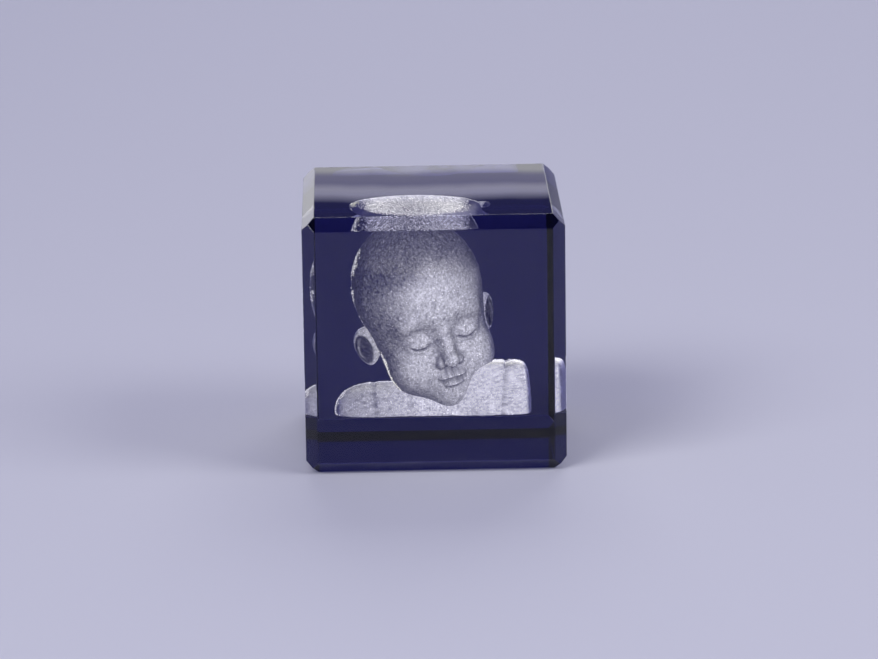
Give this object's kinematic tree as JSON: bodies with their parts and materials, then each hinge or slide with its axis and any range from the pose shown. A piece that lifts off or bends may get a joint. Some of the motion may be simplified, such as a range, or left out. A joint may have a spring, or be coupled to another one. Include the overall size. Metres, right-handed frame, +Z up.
{
  "type": "engraved crystal photo cube",
  "caption": "Solid bevelled glass cube with a small three-dimensional portrait bust engraved inside it, standing flat on its underside.",
  "frame": {"origin": "centre of the underside", "axes": "+Z up, front face towards -Y, +X to the right of a viewer in front"},
  "size_m": [0.05, 0.05, 0.05],
  "materials": {
    "crystal": "polished optical glass",
    "engraving_skin": "dense cloud of tiny frosted marks inside the glass",
    "engraving_shirt": "dense cloud of tiny frosted marks inside the glass"
  },
  "bodies": {
    "root": {"crystal_block": "crystal", "engraved_head": "engraving_skin", "engraved_ear_left": "engraving_skin", "engraved_ear_right": "engraving_skin", "engraved_shirt": "engraving_shirt", "engraved_sleeve_left": "engraving_shirt", "engraved_sleeve_right": "engraving_shirt"}
  },
  "joints": []
}
